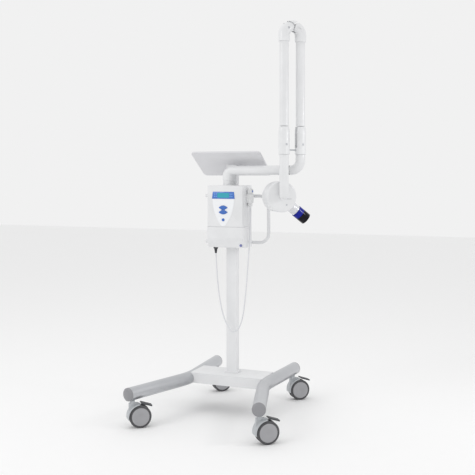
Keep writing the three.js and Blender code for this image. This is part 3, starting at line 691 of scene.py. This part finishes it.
# ---- neck and head ----
neck_profile = [(0, 1023), (8, 1023.6), (13, 1026), (17, 1030), (20, 1035.4), (21.3, 1041), (21.5, 1046),
                (21.5, SEAT_Z - GAP - 0.8), (20.7, SEAT_Z - GAP), (0, SEAT_Z - GAP)]
neck = turned("neck_body", neck_profile, HEAD, 56)
combined(neck, "UNION", rod("stub", 9, 0, HEAD_FRONT + 18, HEAD @ shift(0, 0, HEAD_AXIS_Z) @ turn(-90, "X"),
                            40))
fitted(neck, white_plastic, "neck", "white_plastic", "neck")
DRUM = HEAD @ shift(0, 0, HEAD_AXIS_Z) @ turn(-90, "X")
outer = HEAD_RADIUS
front = [(9.5, HEAD_FRONT), (outer - 6, HEAD_FRONT), (outer - 3.6, HEAD_FRONT + 0.4),
         (outer - 1.6, HEAD_FRONT + 1.6),
         (outer - 0.4, HEAD_FRONT + 3.6), (outer, HEAD_FRONT + 6), (outer, HEAD_SEAM - 0.6),
         (outer - 0.6, HEAD_SEAM), (outer - WALL, HEAD_SEAM), (outer - WALL, HEAD_FRONT + 6),
         (outer - 8, HEAD_FRONT + 3.4), (9.5, HEAD_FRONT + 3.4)]
fitted(turned("drum_front", front, DRUM, 96), white_plastic, "head", "white_plastic", "head_front_cover")
dome = [(0, 127), (24, 126), (47, 121), (62, 110), (69, 94), (69, HEAD_SEAM + GAP), (71.4, HEAD_SEAM + GAP),
        (72, HEAD_SEAM + GAP + 0.6), (72, 94), (71, 100.5), (68.6, 107), (65, 113), (60.4, 117.8),
        (55.2, 121.4),
        (50, 124), (42, 126.4), (33, 128.2), (25, 129), (12, 129.8), (0, 130)]
shell = turned("drum_rear", dome, DRUM, 96)
beam = (math.cos(math.radians(CONE_DIP)), 0, -math.sin(math.radians(CONE_DIP)))
BEAM = HEAD @ shift(0, BEAM_Y, HEAD_AXIS_Z) @ aim(beam)
combined(shell, "DIFFERENCE", rod("port", 26.2, 40, 120, BEAM, 56))
fitted(shell, white_plastic, "head", "white_plastic", "head_rear_shell")
collar = [(20, 56), (25.5, 56), (25.5, 107.2), (24.7, 108), (20, 108)]
fitted(turned("collar", collar, BEAM), collar_clear, "head", "clear_collar", "beam_collar")
blue_ring = [(23, 108.3), (27.2, 108.3), (28, 109.1), (28, 134.6), (27.6, 135), (23, 135)]
fitted(turned("cone_blue_ring", blue_ring, BEAM, 72), cone_blue, "head", "cone_blue", "cone_base")
black_tip = [(0, 166), (24, 166), (24, 135.3), (27.6, 135.3), (28, 135.7), (28, 170.4), (27.6, 171.5),
             (26.6, 172),
             (25.4, 171.8), (24.4, 170), (0, 170)]
fitted(turned("cone_black_tip", black_tip, BEAM, 72), cone_black, "head", "cone_black", "cone_tip")
groove = prism("drum_groove", rounded_rectangle((-4, 46), (-10.6, -9.4), 0.55, 4), HEAD_FRONT - 0.15,
               HEAD_FRONT + 0.3, "Y", HEAD @ shift(0, 0, HEAD_AXIS_Z))
fitted(groove, seam_shadow, "head", "white_plastic")
screw_place = HEAD @ shift(22, HEAD_FRONT, HEAD_AXIS_Z - 37) @ turn(90, "X")
screw = [(0, -0.3), (4.4, -0.3), (4.4, 0.2), (3.9, 0.7), (1.9, 0.7), (1.9, 0.1), (0, 0.1)]
fitted(turned("drum_screw", screw, screw_place, 32), steel, "head", "white_plastic")
insert = [(0, 50), (14, 50), (14, 58), (18, 59.4), (22, 62), (22, 90), (18, 94), (14, 96), (14, 106),
          (0, 106)]
fitted(turned("vacuum_tube", insert, DRUM, 40), tube_glass, "head", "tube_glass", "xray_tube")

# ---- floor and studio light ----
floor_mesh = bpy.data.meshes.new("floor")
floor_mesh.from_pydata([(-12, -12, 0), (12, -12, 0), (12, 12, 0), (-12, 12, 0)], [], [(0, 1, 2, 3)])
floor = bpy.data.objects.new("floor", floor_mesh)
bpy.context.scene.collection.objects.link(floor)
floor_mesh.materials.append(coat("floor", (0.93, 0.93, 0.93), 0.85, grain=300, depth=0.0, mottle=0.002,
                                 wear=0.0))


def lamp(name, place, target, power, size):
    data = bpy.data.lights.new(name, "AREA")
    data.energy = power
    data.size = size
    light = bpy.data.objects.new(name, data)
    light.location = place
    light.rotation_euler = (Vector(target) - Vector(place)).to_track_quat("-Z", "Y").to_euler()
    bpy.context.scene.collection.objects.link(light)


lamp("key", (-2.4, -3.4, 2.9), (0, 0, 0.9), 30, 1.8)
lamp("cone_strip", (1.82, 0.0, 1.52), (0.33, 0.07, 0.95), 3.5, 0.22)
lamp("top", (-0.4, 0.4, 4.2), (0, 0, 0.6), 8, 2.4)
world = bpy.data.worlds.new("studio")
world.use_nodes = True
world.node_tree.nodes["Background"].inputs["Color"].default_value = (1.0, 1.0, 1.0, 1)
world.node_tree.nodes["Background"].inputs["Strength"].default_value = 0.88
bpy.context.scene.world = world
bpy.context.scene.view_settings.view_transform = "Standard"
